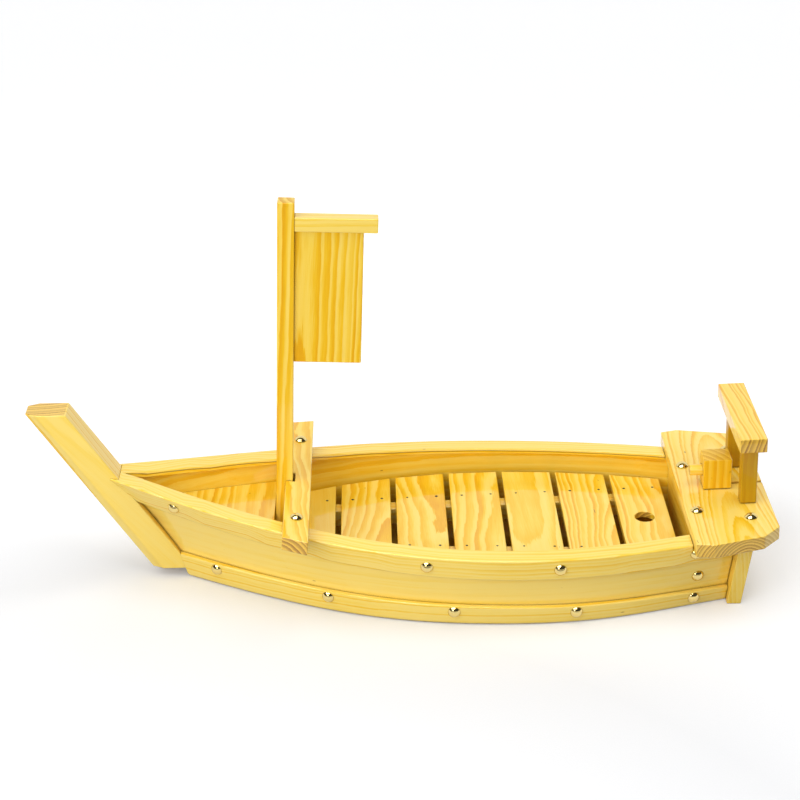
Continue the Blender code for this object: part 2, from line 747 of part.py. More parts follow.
def build_floor():
    """The slats on their two runners, which tip up together: their empty is on the tipping edge."""
    hinge = empty("floor_hinge", Matrix.Translation((FLOOR_FRONT_X, 0.0, SLAT_UNDER)))
    room = FLOOR_AFT_X - FLOOR_FRONT_X
    slat = (room - (SLAT_COUNT - 1) * SLAT_GAP) / (SLAT_COUNT - 1 + FIRST_SLAT_SHARE)
    fore = 0.0
    for number in range(1, SLAT_COUNT + 1):
        width = slat * FIRST_SLAT_SHARE if number == 1 else slat
        aft = fore + width
        half = [(fore, slat_end(FLOOR_FRONT_X + fore)), (aft, slat_end(FLOOR_FRONT_X + aft))]
        outlines = [mirrored(half)]
        if number == SLAT_COUNT:
            outlines.append(circle((fore + aft) / 2, FINGER_HOLE / 2))
        name = f"slat_{number}"
        board = round_edges(add_wood(name, flat_board(name, outlines, SLAT), hinge, PINE_PALE))
        board.location.z = SLAT / 2
        fore = aft + SLAT_GAP
    half_width = RUNNER_WIDTH / 2
    for name, side in SIDES.items():
        edges = []
        for x in (RUNNER_INSET, room - RUNNER_INSET):
            centre = side * (slat_end(FLOOR_FRONT_X + x) - RUNNER_FROM_END)
            edges.append([(x, centre - half_width), (x, centre + half_width)])
        outline = edges[0] + edges[1][::-1]
        runner = add_wood("runner_" + name, flat_board("runner_" + name, [outline], RUNNER_HEIGHT), hinge)
        runner.location.z = -GAP - RUNNER_HEIGHT / 2


def circle(x, radius):
    turns = [2 * math.pi * i / ROUND_SIDES for i in range(ROUND_SIDES)]
    return [(x + radius * math.cos(turn), radius * math.sin(turn)) for turn in turns]


def nail_profile():
    """Half the outline of a dome head, from its top down to its rim and back to the axis."""
    mesh = bpy.data.meshes.new("nail_profile")
    dome = NAIL_HEIGHT - NAIL_RIM
    turns = [math.pi / 2 * i / NAIL_RINGS for i in range(NAIL_RINGS + 1)]
    points = [(NAIL_DIAMETER / 2 * math.sin(t), 0.0, NAIL_RIM + dome * math.cos(t)) for t in turns]
    points += [(NAIL_DIAMETER / 2, 0.0, 0.0), (0.0, 0.0, 0.0)]
    mesh.from_pydata(points, [(i, i + 1) for i in range(len(points) - 1)], [])
    mesh.materials.append(finish("nail_brass", BRASS, BRASS_ROUGHNESS, 1.0))
    return mesh


def add_nail(name, matrix):
    nail = add_object(name, NAIL)
    nail.matrix_world = matrix
    turn = nail.modifiers.new("turn", "SCREW")
    turn.steps = NAIL_SIDES
    turn.render_steps = NAIL_SIDES
    turn.use_merge_vertices = True
    turn.merge_threshold = 0.0001


def side_nail(name, side, x, z, outward):
    """A nail on the hull's side, square to its face."""
    along, upward = face_slopes(x, z)
    normal = Vector((-along, 1.0, -upward)).normalized()
    point = Vector((x, hull_half(x, z, outward), z)) + normal * GAP
    if side < 0:
        normal.y = -normal.y
        point.y = -point.y
    add_nail(name, Matrix.Translation(point) @ normal.to_track_quat("Z", "Y").to_matrix().to_4x4())


def build_side_nails():
    rail_nails = [BOW + RAIL_NAIL_FROM_BOW] + [STERN - aft for aft in RAIL_NAILS_FROM_STERN]
    wale_nails = [BOW + WALE_NAIL_FROM_BOW] + [STERN - aft for aft in WALE_NAILS_FROM_STERN]
    for name, side in SIDES.items():
        for number, x in enumerate(rail_nails, 1):
            side_nail(f"nail_rail_{name}_{number}", side, x, sheer(x) - RAIL_HEIGHT / 2, RAIL_PROUD)
        for number, x in enumerate(wale_nails, 1):
            side_nail(f"nail_wale_{name}_{number}", side, x, wale_top(x) - WALE_NAIL_DROP, WALE)
        side_nail("nail_plank_" + name, side, STERN - PLANK_NAIL_FROM_STERN, PLANK_NAIL_HEIGHT, 0.0)


clear_scene()
PARTS = collection("sushi_boat")
CUTTERS = collection("cutters")
NAIL = nail_profile()

RAILS = build_hull()
build_bottom()
build_foredeck()
build_stern()
build_deck(RAILS)
build_mast()
build_thwart()
build_floor()
build_side_nails()
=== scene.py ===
import math

import bmesh
import bpy
import numpy as np
from mathutils import Euler, Matrix, Vector


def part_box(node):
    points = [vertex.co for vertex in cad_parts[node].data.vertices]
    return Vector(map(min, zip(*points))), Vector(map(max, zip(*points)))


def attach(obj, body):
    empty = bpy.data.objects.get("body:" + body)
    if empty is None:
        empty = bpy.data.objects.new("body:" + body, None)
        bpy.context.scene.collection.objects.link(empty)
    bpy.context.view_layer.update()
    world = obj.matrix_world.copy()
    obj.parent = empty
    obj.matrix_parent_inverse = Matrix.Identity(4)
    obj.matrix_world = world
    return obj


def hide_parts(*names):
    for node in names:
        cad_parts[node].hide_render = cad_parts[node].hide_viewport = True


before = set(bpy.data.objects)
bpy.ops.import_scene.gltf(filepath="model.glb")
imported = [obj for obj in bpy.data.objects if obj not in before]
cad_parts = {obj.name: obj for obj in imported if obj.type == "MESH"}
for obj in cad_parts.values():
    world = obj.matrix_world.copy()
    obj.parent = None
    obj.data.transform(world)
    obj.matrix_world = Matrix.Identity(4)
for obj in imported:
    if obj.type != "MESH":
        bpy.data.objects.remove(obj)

bl_info = {
    "name": "Sushi boat",
    "version": (1, 0, 0),
    "blender": (4, 5, 0),
    "location": "View3D > Sidebar > Sushi boat",
    "description": "Dresses the sushi boat's boards in varnished pine, with brass nails and a plain studio",
    "category": "Object",
}

MM = 0.001
SIDES = ("port", "starboard")
SLATS = ["slat_%d" % number for number in range(1, 8)]

# How a log that lies along X is turned, in degrees, so that its grain runs along a board.
ALONG = {"X": (0, 0, 0), "Y": (0, 0, 90), "Z": (0, -90, 0), "stem": (0, -131, 0), "mast": (0, -87.8, 0)}

# Points of a mesh that lie nearer to each other than this are one point.
SAME_POINT = 0.002 * MM

# A bent board's grain is measured at so many places along it.
STATIONS = 40

# How far the painted shade covers the wood in a corner and along the painted shadow line under a rail's lip,
# and half that line's width.
CORNER_DARK = 0.48
LIP_SHADOW_DARK = 0.65
LIP_SHADOW_HALF = 0.5 * MM

# The floor's pins stand this far from the middle line amidships, and so much farther out per metre aft.
PIN_LINE = 0.0423
PIN_FLARE = 0.05

# The softboxes before and behind the boat: where they hang, where they point and their size, in metres.
FRONT_PLACE = (-0.42, -1.0, 0.52)
FRONT_AIM = (0.42, 0.9, -0.47)
REAR_PLACE = (0.15, 1.15, 0.5)
REAR_AIM = (-0.15, -1.0, -0.4)
SOFTBOX_SIZE = (0.9, 0.7)

# The even light from overhead and from the left: the way it shines, and its spread in degrees.
OVERHEAD_AIM = (-0.35, 0.12, -1.0)
OVERHEAD_SPREAD = 50
LEFT_AIM = (0.8, 0.3, -1.0)
LEFT_SPREAD = 60

# The paper glows fully where the front softbox lights it no more than WEAK_LIGHT. From there to
# STRONG_LIGHT the glow falls to the share GLOW_KEPT.
WEAK_LIGHT = 0.37
STRONG_LIGHT = 0.71
GLOW_KEPT = 0.15
PAPER_CORNERS = ((-9, -9, 0), (9, -9, 0), (9, 9, 0), (-9, 9, 0))

# Cards that show only in the varnish and the brass, each with its strength and its corners in metres:
# dark felt on the floor before the boat and round the camera, and the bright cloths of two softboxes.
FELT = 0.06
CARDS = (
    ("felt_floor", FELT, ((-3, -3, 0.004), (3, -3, 0.004), (3, -0.34, 0.004), (-3, -0.34, 0.004))),
    ("felt_front", FELT, ((-3, -3, 0.5), (3, -3, 0.5), (3, -2, 3), (-3, -2, 3))),
    ("felt_left", FELT, ((-3, -3, 0.4), (-3, 1, 0.4), (-2.4, 1, 3), (-2.4, -3, 3))),
    ("felt_right", FELT, ((3, -3, 0.4), (3, 1, 0.4), (2.4, 1, 3), (2.4, -3, 3))),
    ("felt_top", FELT, ((-3, -3, 3), (3, -3, 3), (3, 1.5, 3), (-3, 1.5, 3))),
    ("front_cloth", 5.0, (
        (-0.628, -0.974, 0.384), (-0.266, -1.143, 0.384),
        (-0.212, -1.026, 0.656), (-0.574, -0.857, 0.656))),
    ("softbox_cloth", 7.0, ((-2.3, -1.9, 2.2), (0.5, -1.9, 2.2), (0.5, -0.3, 2.2), (-2.3, -0.3, 2.2))))

# The camera stands before the port side and looks down on it. Its place is in metres, its turns
# are in degrees, and its sensor's width is in millimetres.
CAMERA_PLACE = (-0.0242, -1.4515, 0.8876)
CAMERA_PITCH = 26.38
CAMERA_YAW = 0.99
CAMERA_ROLL = -0.48
SENSOR_WIDTH = 36.0


def linear(code):
    """An sRGB hex colour as linear RGB."""
    shares = [int(code[at:at + 2], 16) / 255 for at in (0, 2, 4)]
    return tuple(s / 12.92 if s <= 0.04045 else ((s + 0.055) / 1.055) ** 2.4 for s in shares)


def colour(name, code, description):
    """A colour setting."""
    return bpy.props.FloatVectorProperty(
        name=name, description=description, default=linear(code), size=3, min=0.0, max=1.0, subtype="COLOR")


def measure(name, default, description, unit="NONE"):
    """A setting that is a number in the given kind of unit."""
    return bpy.props.FloatProperty(
        name=name, description=description, default=default, min=0.0, unit=unit, precision=4)


class PineFinish(bpy.types.PropertyGroup):
    """Sawn pine under a clear satin varnish."""
    sapwood: colour("Sapwood", "FADA6C", "Palest wood, from under the bark")
    earlywood: colour("Earlywood", "F8D24E", "Pale wood that grows in spring")
    golden: colour("Golden wood", "F2BE18", "Wood between the pale and the dense part of a ring")
    latewood: colour("Latewood", "E8A808", "Dense wood that closes each year's ring")
    end_pale: colour("End grain, pale", "E9BD48", "Pale part of a ring where a board is cut across")
    end_dark: colour("End grain, dark", "98621E", "Dense part of a ring where a board is cut across")
    resin: colour("Resin fleck", "7A4716", "Small resin pockets")
    # The colour of the painted shade in the corners between boards and under the rails' lip.
    seam: colour("Seam", "6E4D0E", "Varnish and dust that gather in the corners between boards")
    edge: measure("Eased edge", 0.8 * MM, "Radius that the sander leaves on a board's sharp edges", "LENGTH")


class NailFinish(bpy.types.PropertyGroup):
    """Brass dome nails and the small steel pins of the floor."""
    brass: colour("Brass", "EAD48C", "Polished brass of the dome nails")
    tarnish: colour("Tarnish", "B98E3C", "Brass in the rubbing marks")
    dome: measure("Dome diameter", 11.0 * MM, "Width of a dome nail's head", "LENGTH")
    dome_rise: measure("Dome height", 3.3 * MM, "How far a dome nail's head stands out", "LENGTH")
    steel: colour("Steel", "221A15", "Oxidised steel of the floor's pins")
    rust: colour("Rust", "1C1612", "Darker grain of rust on the pins")
    pin: measure("Pin diameter", 2.8 * MM, "Width of a floor pin's head", "LENGTH")
    pin_rise: measure("Pin height", 0.35 * MM, "How far a floor pin's head stands out", "LENGTH")
    pin_fore: measure("Fore pin", 10.5 * MM, "Distance of the fore pins from a slat's fore edge", "LENGTH")
    pin_aft: measure("Aft pin", 8.0 * MM, "Distance of the aft pins from a slat's aft edge", "LENGTH")


class StageLook(bpy.types.PropertyGroup):
    """White paper, soft light and the camera."""
    paper: colour("Paper", "DFE0E1", "The white paper that the boat stands on")
    paper_fleck: colour("Paper fleck", "E4E4E6", "Brighter fibres in the paper")
    sky: measure("Sky", 0.272, "Light from the white room")
    lamp: measure("Lamp", 1.25, "Light from the softbox overhead")
    front: measure("Front", 7.4, "Light from the softbox at the left front", "POWER")
    rear: measure("Rear", 3.0, "Light from the softbox behind the boat", "POWER")
    side: measure("Side", 1.18, "Light from the left")
    lift: measure("Paper glow", 0.28, "White that the paper shows the camera beside its own light")
    bounce: measure("Paper bounce", 0.5, "Share of its light that the paper gives back to the boat")
    lens: measure("Lens", 83.58, "Focal length", "CAMERA")


class BoatSettings(bpy.types.PropertyGroup):
    """All settings of the sushi boat."""
    pine: bpy.props.PointerProperty(type=PineFinish, name="Pine", description="The boards")
    nails: bpy.props.PointerProperty(type=NailFinish, name="Nails", description="Brass nails and steel pins")
    stage: bpy.props.PointerProperty(type=StageLook, name="Stage", description="Paper, light and camera")


def add_node(tree, kind, inputs=None, **settings):
    """Adds one node with its settings, and sets or links its inputs by name or number."""
    node = tree.nodes.new(kind)
    for setting, value in settings.items():
        setattr(node, setting, value)
    for socket, value in (inputs or {}).items():
        if isinstance(value, bpy.types.NodeSocket):
            tree.links.new(value, node.inputs[socket])
        else:
            node.inputs[socket].default_value = value
    return node


def empty_material(name):
    """A material with an empty node tree."""
    material = bpy.data.materials.new(name)
    material.use_nodes = True
    material.node_tree.nodes.clear()
    return material


def pine(
        name, along, pith, ring, tilt=(0, 0), show=0.8, warm=0.0, wander=1.0, end=1.0, shade=1.0, gloss=0.8,
        heart=0.0, lip=None, follows_bend=False):
    """Varnished pine for one board.

    The board is cut from a log whose pith runs past the point pith, in metres, along the grain.
    Its rings are ring metres wide, tilt turns the log in degrees, show is how strongly the
    rings stand out, warm moves the whole board towards the golden wood, wander is how far
    its grain strays from a straight line, end is how brown its cut ends are,
    shade below 1 darkens the board, for old, brown stock and as painted shade where it lies in
    shadow, gloss is how thick the varnish lies, and heart is how much more golden the
    side that faces the middle of the boat is, painted bounce light from inside the hull. A painted
    shadow line runs along that side lip metres below the top edge, where the rail's lip overhangs,
    and the wood above it isn't golden.
    """
    # Sawn, sanded and varnished pine: golden rings and fine fibres lie in soft wood, and the clear
    # varnish over them is smooth, so the highlights are small and sharp.
    look = bpy.context.scene.sushi_boat.pine
    material = empty_material(name)
    tree = material.node_tree
    turn = Euler([math.radians(a) for a in ALONG[along]]).to_matrix()
    log = turn @ Euler((0, math.radians(tilt[0]), math.radians(tilt[1]))).to_matrix()
    place = add_node(tree, "ShaderNodeTexCoord")
    if follows_bend:
        start = add_node(tree, "ShaderNodeAttribute", attribute_name="grain").outputs["Vector"]
    else:
        start = place.outputs["Object"]
    board = add_node(tree, "ShaderNodeMapping", {
        "Vector": start, "Location": pith, "Rotation": log.to_euler()}, vector_type="TEXTURE").outputs[0]

    def noise(along_mm, across_mm, detail):
        """Noise stretched along the grain, with features of these sizes."""
        per_metre = (1 / (along_mm * MM), 1 / (across_mm * MM), 1 / (across_mm * MM))
        at = add_node(tree, "ShaderNodeVectorMath", {0: board, 1: per_metre}, operation="MULTIPLY")
        return add_node(tree, "ShaderNodeTexNoise", {
            "Vector": at.outputs[0], "Scale": 1.0, "Detail": detail, "Roughness": 0.55})

    def shifted(vector, source, amount):
        """The vector moved across the grain by a noise of that size."""
        centred = add_node(tree, "ShaderNodeVectorMath", {
            0: source.outputs["Color"], 1: (0.5, 0.5, 0.5)}, operation="SUBTRACT").outputs[0]
        return add_node(tree, "ShaderNodeVectorMath", {
            0: centred, 1: (0, amount, amount), 2: vector}, operation="MULTIPLY_ADD").outputs[0]

    # The trunk wanders over a hand's width, and its rings waver within a finger's width.
    trunk = shifted(board, noise(95, 45, 1.0), 11 * MM * wander)
    rings = shifted(trunk, noise(22, 16, 1.0), 2.6 * MM * wander)
    across = add_node(tree, "ShaderNodeVectorMath", {0: rings, 1: (0, 1, 1)}, operation="MULTIPLY").outputs[0]
    distance = add_node(tree, "ShaderNodeVectorMath", {0: across}, operation="LENGTH").outputs["Value"]
    # Good and lean years make the rings wide and narrow, and the fibres fray each ring's edge.
    fibre = noise(30, 0.8, 2.0).outputs["Fac"]
    harvest = add_node(tree, "ShaderNodeMath", {0: distance, 1: 2.2 * ring}, operation="DIVIDE").outputs[0]
    harvest = add_node(tree, "ShaderNodeTexNoise", {
        "W": harvest, "Scale": 1.0}, noise_dimensions="1D").outputs["Fac"]
    for source, amount in ((harvest, 1.3 * ring), (fibre, 0.35 * ring)):
        distance = add_node(tree, "ShaderNodeMath", {
            0: source, 1: amount, 2: distance}, operation="MULTIPLY_ADD").outputs[0]
    years = add_node(tree, "ShaderNodeMath", {0: distance, 1: ring}, operation="DIVIDE").outputs[0]
    year = add_node(tree, "ShaderNodeMath", {0: years}, operation="FLOOR").outputs[0]
    season = add_node(tree, "ShaderNodeMath", {0: years}, operation="FRACT").outputs[0]
    # Latewood grows in slowly over the year and stops sharply at the ring's end.
    late = add_node(tree, "ShaderNodeValToRGB", {"Fac": season})
    stops = late.color_ramp.elements
    stops[0].position = 0.22
    stops[0].color = (0, 0, 0, 1)
    stops[1].color = (0, 0, 0, 1)
    for position, value in ((0.5, 0.6), (0.75, 0.85), (0.93, 1.0)):
        stops.new(position).color = (value, value, value, 1)
    # The faintest rings show about a third as strongly as the strongest.
    chance = add_node(tree, "ShaderNodeTexWhiteNoise", {"W": year}, noise_dimensions="1D").outputs["Value"]
    weight = add_node(tree, "ShaderNodeMapRange", {
        "Value": chance, "To Min": 0.3 * show, "To Max": show}).outputs[0]
    band = add_node(tree, "ShaderNodeMath", {
        0: late.outputs["Color"], 1: weight}, operation="MULTIPLY").outputs[0]

    # Fibres, drawn coarser than real ones so that they show, streaks and a slow change of tint add
    # to the rings. Their mean is taken off again, so that warm alone moves the whole board.
    streak = noise(120, 5, 2.0).outputs["Fac"]
    tint = noise(160, 60, 1.0).outputs["Fac"]
    shares = ((fibre, 0.22), (streak, 0.5), (tint, 0.45))
    mean = sum(share for _, share in shares) / 2
    tone = band
    for source, share in shares:
        tone = add_node(tree, "ShaderNodeMath", {
            0: source, 1: share, 2: tone}, operation="MULTIPLY_ADD").outputs[0]
    tone = add_node(tree, "ShaderNodeMath", {0: tone, 1: mean - warm}, operation="SUBTRACT").outputs[0]
    # The faces turned to the middle of the boat are painted more golden, as the light bounced inside the hull
    # would make them.
    if heart:
        sideways = add_node(tree, "ShaderNodeSeparateXYZ", {0: place.outputs["Normal"]}).outputs["Y"]
        side = add_node(tree, "ShaderNodeSeparateXYZ", {0: place.outputs["Object"]}).outputs["Y"]
        side = add_node(tree, "ShaderNodeMath", {0: side}, operation="SIGN").outputs[0]
        inward = add_node(tree, "ShaderNodeMath", {0: sideways, 1: side}, operation="MULTIPLY").outputs[0]
        inward = add_node(tree, "ShaderNodeMapRange", {
            "Value": inward, "From Min": -0.4, "From Max": -0.8}).outputs[0]
        # A painted shadow line lip metres below the top edge, where the rail's lip overhangs the plank; the
        # painted gold starts under it.
        if lip:
            level = add_node(tree, "ShaderNodeSeparateXYZ", {0: start}).outputs["Y"]
            lip_shadow = add_node(tree, "ShaderNodeMath", {
                0: level, 1: -lip, 2: LIP_SHADOW_HALF}, operation="COMPARE").outputs[0]
            lip_shadow = add_node(tree, "ShaderNodeMath", {0: lip_shadow, 1: inward}, operation="MULTIPLY").outputs[0]
            under = add_node(tree, "ShaderNodeMath", {0: level, 1: -lip}, operation="LESS_THAN").outputs[0]
            inward = add_node(tree, "ShaderNodeMath", {0: inward, 1: under}, operation="MULTIPLY").outputs[0]
        tone = add_node(tree, "ShaderNodeMath", {
            0: inward, 1: heart, 2: tone}, operation="MULTIPLY_ADD").outputs[0]
    long_grain = add_node(tree, "ShaderNodeValToRGB", {"Fac": tone})
    stops = long_grain.color_ramp.elements
    stops.new(0.33)
    stops.new(0.66)
    for stop, wood in zip(stops, (look.sapwood, look.earlywood, look.golden, look.latewood)):
        stop.color = (*(shade * channel for channel in wood), 1)
    # Resin pockets stand only on the highest peaks of a noise, so they are few and small.
    resin = noise(9, 2.6, 0.0).outputs["Fac"]
    fleck = add_node(tree, "ShaderNodeMapRange", {
        "Value": resin, "From Min": 0.88, "From Max": 0.92, "To Max": 0.7}).outputs[0]
    long_grain = add_node(tree, "ShaderNodeMix", {
        "Factor": fleck, 6: long_grain.outputs["Color"], 7: (*look.resin, 1)}, data_type="RGBA").outputs[2]

    # Where the saw crosses the grain the open fibres drink the varnish and turn brown.
    cut = add_node(tree, "ShaderNodeMapRange", {"Value": chance, "To Min": 0.6, "To Max": 1.0}).outputs[0]
    cut = add_node(tree, "ShaderNodeMath", {
        0: late.outputs["Color"], 1: cut}, operation="MULTIPLY").outputs[0]
    end_grain = add_node(tree, "ShaderNodeMix", {
        "Factor": cut, 6: (*look.end_pale, 1), 7: (*look.end_dark, 1)}, data_type="RGBA").outputs[2]
    facing = add_node(tree, "ShaderNodeVectorMath", {
        0: place.outputs["Normal"], 1: turn.col[0]}, operation="DOT_PRODUCT").outputs["Value"]
    facing = add_node(tree, "ShaderNodeMath", {0: facing}, operation="ABSOLUTE").outputs[0]
    facing = add_node(tree, "ShaderNodeMapRange", {
        "Value": facing, "From Min": 0.6, "From Max": 0.8, "To Max": 0.0 if follows_bend else end}).outputs[0]
    wood = add_node(tree, "ShaderNodeMix", {
        "Factor": facing, 6: long_grain, 7: end_grain}, data_type="RGBA").outputs[2]
    # Painted shade: an occlusion mask darkens the wood in the corners where boards meet, and where a board
    # lies close to a nail or the paper.
    corner = add_node(tree, "ShaderNodeAmbientOcclusion", {"Distance": 3.2 * MM}, samples=4).outputs["AO"]
    corner = add_node(tree, "ShaderNodeMapRange", {
        "Value": corner, "From Min": 0.4, "From Max": 0.75, "To Min": CORNER_DARK, "To Max": 0.0}).outputs[0]
    # The painted shadow line under the lip is added to the painted shade in the corners.
    if lip:
        corner = add_node(tree, "ShaderNodeMath", {
            0: lip_shadow, 1: LIP_SHADOW_DARK, 2: corner}, operation="MULTIPLY_ADD").outputs[0]
    wood = add_node(tree, "ShaderNodeMix", {
        "Factor": corner, 6: wood, 7: (*look.seam, 1)}, data_type="RGBA").outputs[2]

    # The sander takes more of the soft wood, so the fibres and the hard rings stand a little proud.
    rough = add_node(tree, "ShaderNodeMapRange", {"Value": fibre, "To Min": 0.36, "To Max": 0.56}).outputs[0]
    relief = add_node(tree, "ShaderNodeMath", {
        0: band, 1: 0.6, 2: fibre}, operation="MULTIPLY_ADD").outputs[0]
    bump = add_node(tree, "ShaderNodeBump", {
        "Height": relief, "Strength": 0.12, "Distance": 0.25 * MM}).outputs[0]
    shader = add_node(tree, "ShaderNodeBsdfPrincipled", {
        "Base Color": wood, "Roughness": rough, "Normal": bump, "IOR": 1.5, "Specular IOR Level": 0.2,
        "Coat Weight": gloss, "Coat Roughness": 0.035, "Coat IOR": 1.5})
    add_node(tree, "ShaderNodeOutputMaterial", {"Surface": shader.outputs[0]})
    return material


def evaluated(holder):
    """A plain mesh of an object with its modifiers, which takes the object's place."""
    bpy.context.scene.collection.objects.link(holder)
    mesh = bpy.data.meshes.new_from_object(holder.evaluated_get(bpy.context.evaluated_depsgraph_get()))
    bpy.data.objects.remove(holder)
    return mesh


def sanded(node, bent=False):
    """A board as its CAD node gives it, with its sharp edges eased."""
    board = bmesh.new()
    board.from_mesh(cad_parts[node].data)
    bmesh.ops.remove_doubles(board, verts=board.verts, dist=SAME_POINT)
    # The CAD mesh's triangles become quads on a bent face and one whole face on a flat one.
    if bent:
        same_bend = math.radians(12)
        most_skew = math.radians(60)
        bmesh.ops.join_triangles(
            board, faces=board.faces, angle_face_threshold=same_bend, angle_shape_threshold=most_skew)
    else:
        same_plane = math.radians(0.5)
        bmesh.ops.dissolve_limit(board, angle_limit=same_plane, verts=board.verts, edges=board.edges)
    for face in board.faces:
        face.smooth = True
    mesh = bpy.data.meshes.new(node)
    board.to_mesh(mesh)
    board.free()
    for given in [layer for layer in mesh.attributes if layer.name == "custom_normal"]:
        mesh.attributes.remove(given)
    holder = bpy.data.objects.new(node, mesh)
    # A bent board runs out in thin ends, so its edges are eased less.
    eased = holder.modifiers.new("eased_edges", "BEVEL")
    eased.width = bpy.context.scene.sushi_boat.pine.edge * (0.6 if bent else 1.0)
    eased.segments = 3
    eased.limit_method = "ANGLE"
    eased.angle_limit = math.radians(60 if bent else 50)
    eased.use_clamp_overlap = not bent
    # Where two eased edges meet they can leave two points in one place.
    holder.modifiers.new("joined_points", "WELD").merge_threshold = SAME_POINT
    holder.modifiers.new("even_shading", "WEIGHTED_NORMAL")
    return evaluated(holder)


def follow_bend(mesh, sheer):
    """Writes the grain's own coordinates on a bent board: along it, up it and into it.

    sheer is the share of the top edge's rise that the grain follows.
    """
    points = np.empty(len(mesh.vertices) * 3)
    mesh.vertices.foreach_get("co", points)
    x, y, z = points.reshape(-1, 3).T
    # Each mark takes in the points up to 1.2 steps to either side of it.
    marks = np.linspace(x.min(), x.max(), STATIONS)
    near = np.abs(x[None] - marks[:, None]) < 1.2 * (marks[1] - marks[0])
    outer = np.array([np.abs(y[n]).max() if n.any() else np.nan for n in near])
    top = np.array([z[n].max() if n.any() else np.nan for n in near])
    known = ~np.isnan(outer)
    marks, near, outer, top = marks[known], near[known], outer[known], top[known]
    # The top edge rises between two marks, so it is measured again along its own slope.
    slopes = np.gradient(top, marks)
    top = np.array([(z[n] - slope * (x[n] - mark)).max() for n, slope, mark in zip(near, slopes, marks)])
    run = np.concatenate(([0.0], np.cumsum(np.hypot(np.diff(marks), np.diff(outer)))))
    grain = np.column_stack((
        np.interp(x, marks, run),
        z - sheer * np.interp(x, marks, top),
        np.interp(x, marks, outer) - np.abs(y)))
    mesh.attributes.new("grain", "FLOAT_VECTOR", "POINT").data.foreach_set("vector", grain.ravel())


def place_piece(name, mesh, material, body, nodes):
    """Puts a finished mesh in the scene on its body, in place of its CAD nodes."""
    mesh.materials.clear()
    mesh.materials.append(material)
    mesh.name = name
    piece = bpy.data.objects.new(name, mesh)
    bpy.context.scene.collection.objects.link(piece)
    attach(piece, body)
    if nodes:
        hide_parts(*nodes)


def place_board(node, along, offset, ring, body="hull", butts=None, **finish):
    """A sanded flat board in its own pine.

    The pith of its log lies offset millimetres from the board's centre, and the rings are ring
    millimetres wide. butts is how the board's end is moved up to its neighbour, in millimetres.
    """
    low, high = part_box(node)
    pith = (Vector(low) + Vector(high)) / 2 + Vector(offset) * MM
    material = pine("varnished_pine_" + node, along, pith, ring * MM, **finish)
    mesh = sanded(node)
    if butts:
        # Only the points in the last 2 mm before the neighbour move.
        push = Vector(butts) * MM
        reach = [vertex.co.dot(push) for vertex in mesh.vertices]
        limit = max(reach) - 2 * MM * push.length
        for vertex, at in zip(mesh.vertices, reach):
            if at > limit:
                vertex.co += push
    place_piece(node + "_board", mesh, material, body, [node])


def place_bent(node, sheer, pith, ring, **finish):
    """A bent board in pine that follows it. pith is in metres in the grain's own coordinates."""
    material = pine("varnished_pine_" + node, "X", pith, ring * MM, follows_bend=True, **finish)
    mesh = sanded(node, bent=True)
    follow_bend(mesh, sheer)
    place_piece(node + "_board", mesh, material, "hull", [node])


class SUSHIBOAT_OT_stem(bpy.types.Operator):
    """Dresses the raked stem post"""
    bl_idname = "sushi_boat.stem"
    bl_label = "Stem post"

    def execute(self, context):
        place_board("bow_stem", "stem", (0, 70, 0), 4.2, tilt=(0, 0.2), show=0.8, wander=0.15)
        return {"FINISHED"}


class SUSHIBOAT_OT_planks(bpy.types.Operator):
    """Dresses the bent side planks"""
    bl_idname = "sushi_boat.planks"
    bl_label = "Side planks"

    def execute(self, context):
        # The planks' inner sides are painted more golden, for the light bounced inside the hull.
        for side, run, warm in zip(SIDES, (0.0, 0.37), (-0.08, 0.1)):
            place_bent(
                "plank_" + side, 0.4, (run, 0.16, 0.05), 7.0,
                tilt=(0.4, 0.8), show=0.45, warm=warm, wander=0.25, heart=0.28)
        return {"FINISHED"}


class SUSHIBOAT_OT_rails(bpy.types.Operator):
    """Dresses the rails over the planks' top edges"""
    bl_idname = "sushi_boat.rails"
    bl_label = "Rails"

    def execute(self, context):
        # The rails' inner sides are painted more golden, for the light bounced inside the hull, under a
        # painted shadow line below the lip.
        for side, run in zip(SIDES, (0.1, 0.62)):
            place_bent(
                "rail_" + side, 1.0, (run, -0.05, 0.05), 2.8,
                tilt=(0.3, 0.2), show=1.0, warm=-0.1, wander=0.08, heart=0.5, lip=2.2 * MM)
        return {"FINISHED"}


class SUSHIBOAT_OT_wales(bpy.types.Operator):
    """Dresses the wales along the planks' feet"""
    bl_idname = "sushi_boat.wales"
    bl_label = "Wales"

    def execute(self, context):
        for side, run in zip(SIDES, (0.25, 0.81)):
            place_bent(
                "wale_" + side, 0.6, (run, 0.06, 0.02), 3.4, tilt=(0.8, 0.8), show=0.7, wander=0.12)
        return {"FINISHED"}


class SUSHIBOAT_OT_bottom(bpy.types.Operator):
    """Dresses the bottom board, the floor's bearers and the mast step"""
    bl_idname = "sushi_boat.bottom"
    bl_label = "Bottom"

    def execute(self, context):
        # The bottom board and the bearers lie in shadow under the floor: shade and warm darken them as
        # painted shade, so the gaps and the finger hole look dark.
        place_board("bottom_board", "X", (0, 30, -60), 5.0, tilt=(1.5, 0), warm=0.8, shade=0.5)
        for node in ("bearer_fore", "bearer_aft"):
            place_board(node, "Y", (30, 0, -40), 4.0, warm=0.6, shade=0.6)
        place_board("mast_step", "X", (0, 30, -30), 4.0)
        return {"FINISHED"}


class SUSHIBOAT_OT_foredeck(bpy.types.Operator):
    """Dresses the foredeck between the planks"""
    bl_idname = "sushi_boat.foredeck"
    bl_label = "Foredeck"

    def execute(self, context):
        place_board("foredeck", "Y", (60, 0, -60), 6.4, tilt=(2, 1), show=0.75, warm=0.3, wander=0.7)
        return {"FINISHED"}


